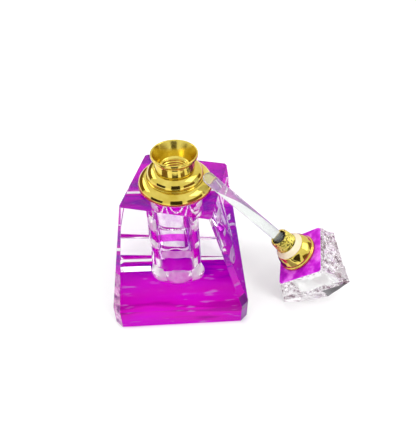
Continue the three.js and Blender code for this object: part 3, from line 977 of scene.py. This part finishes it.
floor_corners = [(-1, -1, 0), (1, -1, 0), (1, 1, 0), (-1, 1, 0)]
floor = plane("floor", [Vector(c) * FLOOR_HALF for c in floor_corners])
floor.location.z = -FLOOR_DROP
paper, _, _, shader = new_material("paper")
shader.inputs["Base Color"].default_value = (0.96, 0.96, 0.96, 1)
shader.inputs["Roughness"].default_value = 0.6
shader.inputs["Specular IOR Level"].default_value = 0.0
floor.data.materials.append(paper)


def card(name, corners, colour, glow=0.0):
    """A board beside the set that only shows in reflections."""
    board = plane(name, [Vector(c) * MM for c in corners])
    board.visible_camera = False
    board.visible_diffuse = False
    board.visible_transmission = False
    board.visible_shadow = False
    material, _, _, shader = new_material(name)
    shader.inputs["Base Color"].default_value = (*colour, 1.0)
    shader.inputs["Roughness"].default_value = 0.9
    shader.inputs["Emission Color"].default_value = (*colour, 1.0)
    shader.inputs["Emission Strength"].default_value = glow
    board.data.materials.append(material)


def on_floor(*spots):
    """Corners of a card flat on the floor."""
    return [(x, y, CARD_LIFT) for x, y in spots]


def upright(start, end, low, high):
    """Corners of a card that stands from one spot to another."""
    return [(*start, low), (*end, low), (*end, high), (*start, high)]


DARK = (0.03, 0.018, 0.01)
BROWN = (0.16, 0.085, 0.03)
PLUM = (0.60, 0.12, 0.55)
MAUVE = (0.32, 0.28, 0.32)
INDIGO = (0.16, 0.0, 0.34)
PALE = (1.0, 0.97, 0.92)
card("flag_right", on_floor((22, -12), (120, -12), (120, 38), (22, 38)), INDIGO)
card("flag_far", on_floor((22, 38), (120, 38), (120, 120), (22, 120)), PLUM)
card("flag_fore", on_floor((-24, -48), (52, -48), (52, -20.6), (-24, -20.6)), MAUVE)
card("flag_near", on_floor((-29, -105), (29, -105), (18, -62), (-18, -62)), DARK)
card("flag_near_left", on_floor((-95, -95), (-48, -72), (-52, -28), (-110, -28)), BROWN)
card("flag_near_right", on_floor((52, -95), (86, -70), (66, -50), (40, -68)), BROWN)
card("flag_front", upright((-62, -210), (62, -210), 0, 140), DARK)
card("flag_table", on_floor((-38, -125), (38, -125), (62, -210), (-62, -210)), DARK)
card("flag_left", upright((-190, -60), (-125, -165), 0, 90), DARK)
card("flag_rear", upright((-260, 60), (-90, 240), 0, 150), BROWN)
card("flag_side", upright((100, -180), (200, -50), 0, 95), BROWN)
card("flag_flank", upright((220, -30), (220, 110), 15, 125), BROWN)
card("soft_right", [(330, -150, 230), (330, 90, 230), (200, 90, 400), (200, -150, 400)], PALE, glow=1.9)
card("soft_rear", upright((-300, 40), (-160, 260), 170, 290), PALE, glow=2.0)


# Light, placed in metres

world = bpy.data.worlds.new("studio")
bpy.context.scene.world = world
world.use_nodes = True
sky = world.node_tree.nodes["Background"]
sky.inputs["Color"].default_value = (1, 1, 1, 1)
sky.inputs["Strength"].default_value = 1.0


def lamp(name, place, aim, width, height, power):
    data = bpy.data.lights.new(name, "AREA")
    data.shape = "RECTANGLE"
    data.size = width
    data.size_y = height
    data.energy = power
    light = bpy.data.objects.new(name, data)
    light.location = place
    light.rotation_euler = (Vector(aim) - Vector(place)).to_track_quat("-Z", "Y").to_euler()
    bpy.context.scene.collection.objects.link(light)
    light.visible_glossy = False


lamp("key", place=(0.35, -0.35, 0.45), aim=(0.01, 0, 0.03), width=0.25, height=0.25, power=1.2)
lamp("fill", place=(-0.4, -0.2, 0.5), aim=(0.01, 0, 0.03), width=0.4, height=0.4, power=0.7)
lamp("rear", place=(-0.05, 0.45, 0.5), aim=(0.0, 0.06, 0.0), width=0.6, height=0.4, power=0.5)


# Camera: where it stands, in millimetres, and how it is turned, in radians

EYE = Vector((2.238, -101.088, 118.720))
YAW = 0.0675870
PITCH_DOWN = 0.741306
ROLL = 0.0037205
FOCAL_LENGTH = 39.53
SENSOR_WIDTH = 36.0

level_reach = math.cos(PITCH_DOWN)
forward = Vector((math.sin(YAW) * level_reach, math.cos(YAW) * level_reach, -math.sin(PITCH_DOWN)))
right = Vector((math.cos(YAW), -math.sin(YAW), 0))
upward = right.cross(forward)
right, upward = (
    right * math.cos(ROLL) + upward * math.sin(ROLL),
    upward * math.cos(ROLL) - right * math.sin(ROLL),
)
lens = bpy.data.cameras.new("camera")
lens.sensor_fit = "HORIZONTAL"
lens.sensor_width = SENSOR_WIDTH
lens.lens = FOCAL_LENGTH
lens.clip_start = 0.005
lens.clip_end = 20.0
camera = bpy.data.objects.new("camera", lens)
camera.matrix_world = Matrix((right, upward, -forward)).transposed().to_4x4()
camera.location = EYE * MM
bpy.context.scene.collection.objects.link(camera)
scene = bpy.context.scene
scene.camera = camera
scene.view_settings.view_transform = "Standard"
scene.cycles.max_bounces = 24
scene.cycles.glossy_bounces = 16
scene.cycles.transmission_bounces = 24
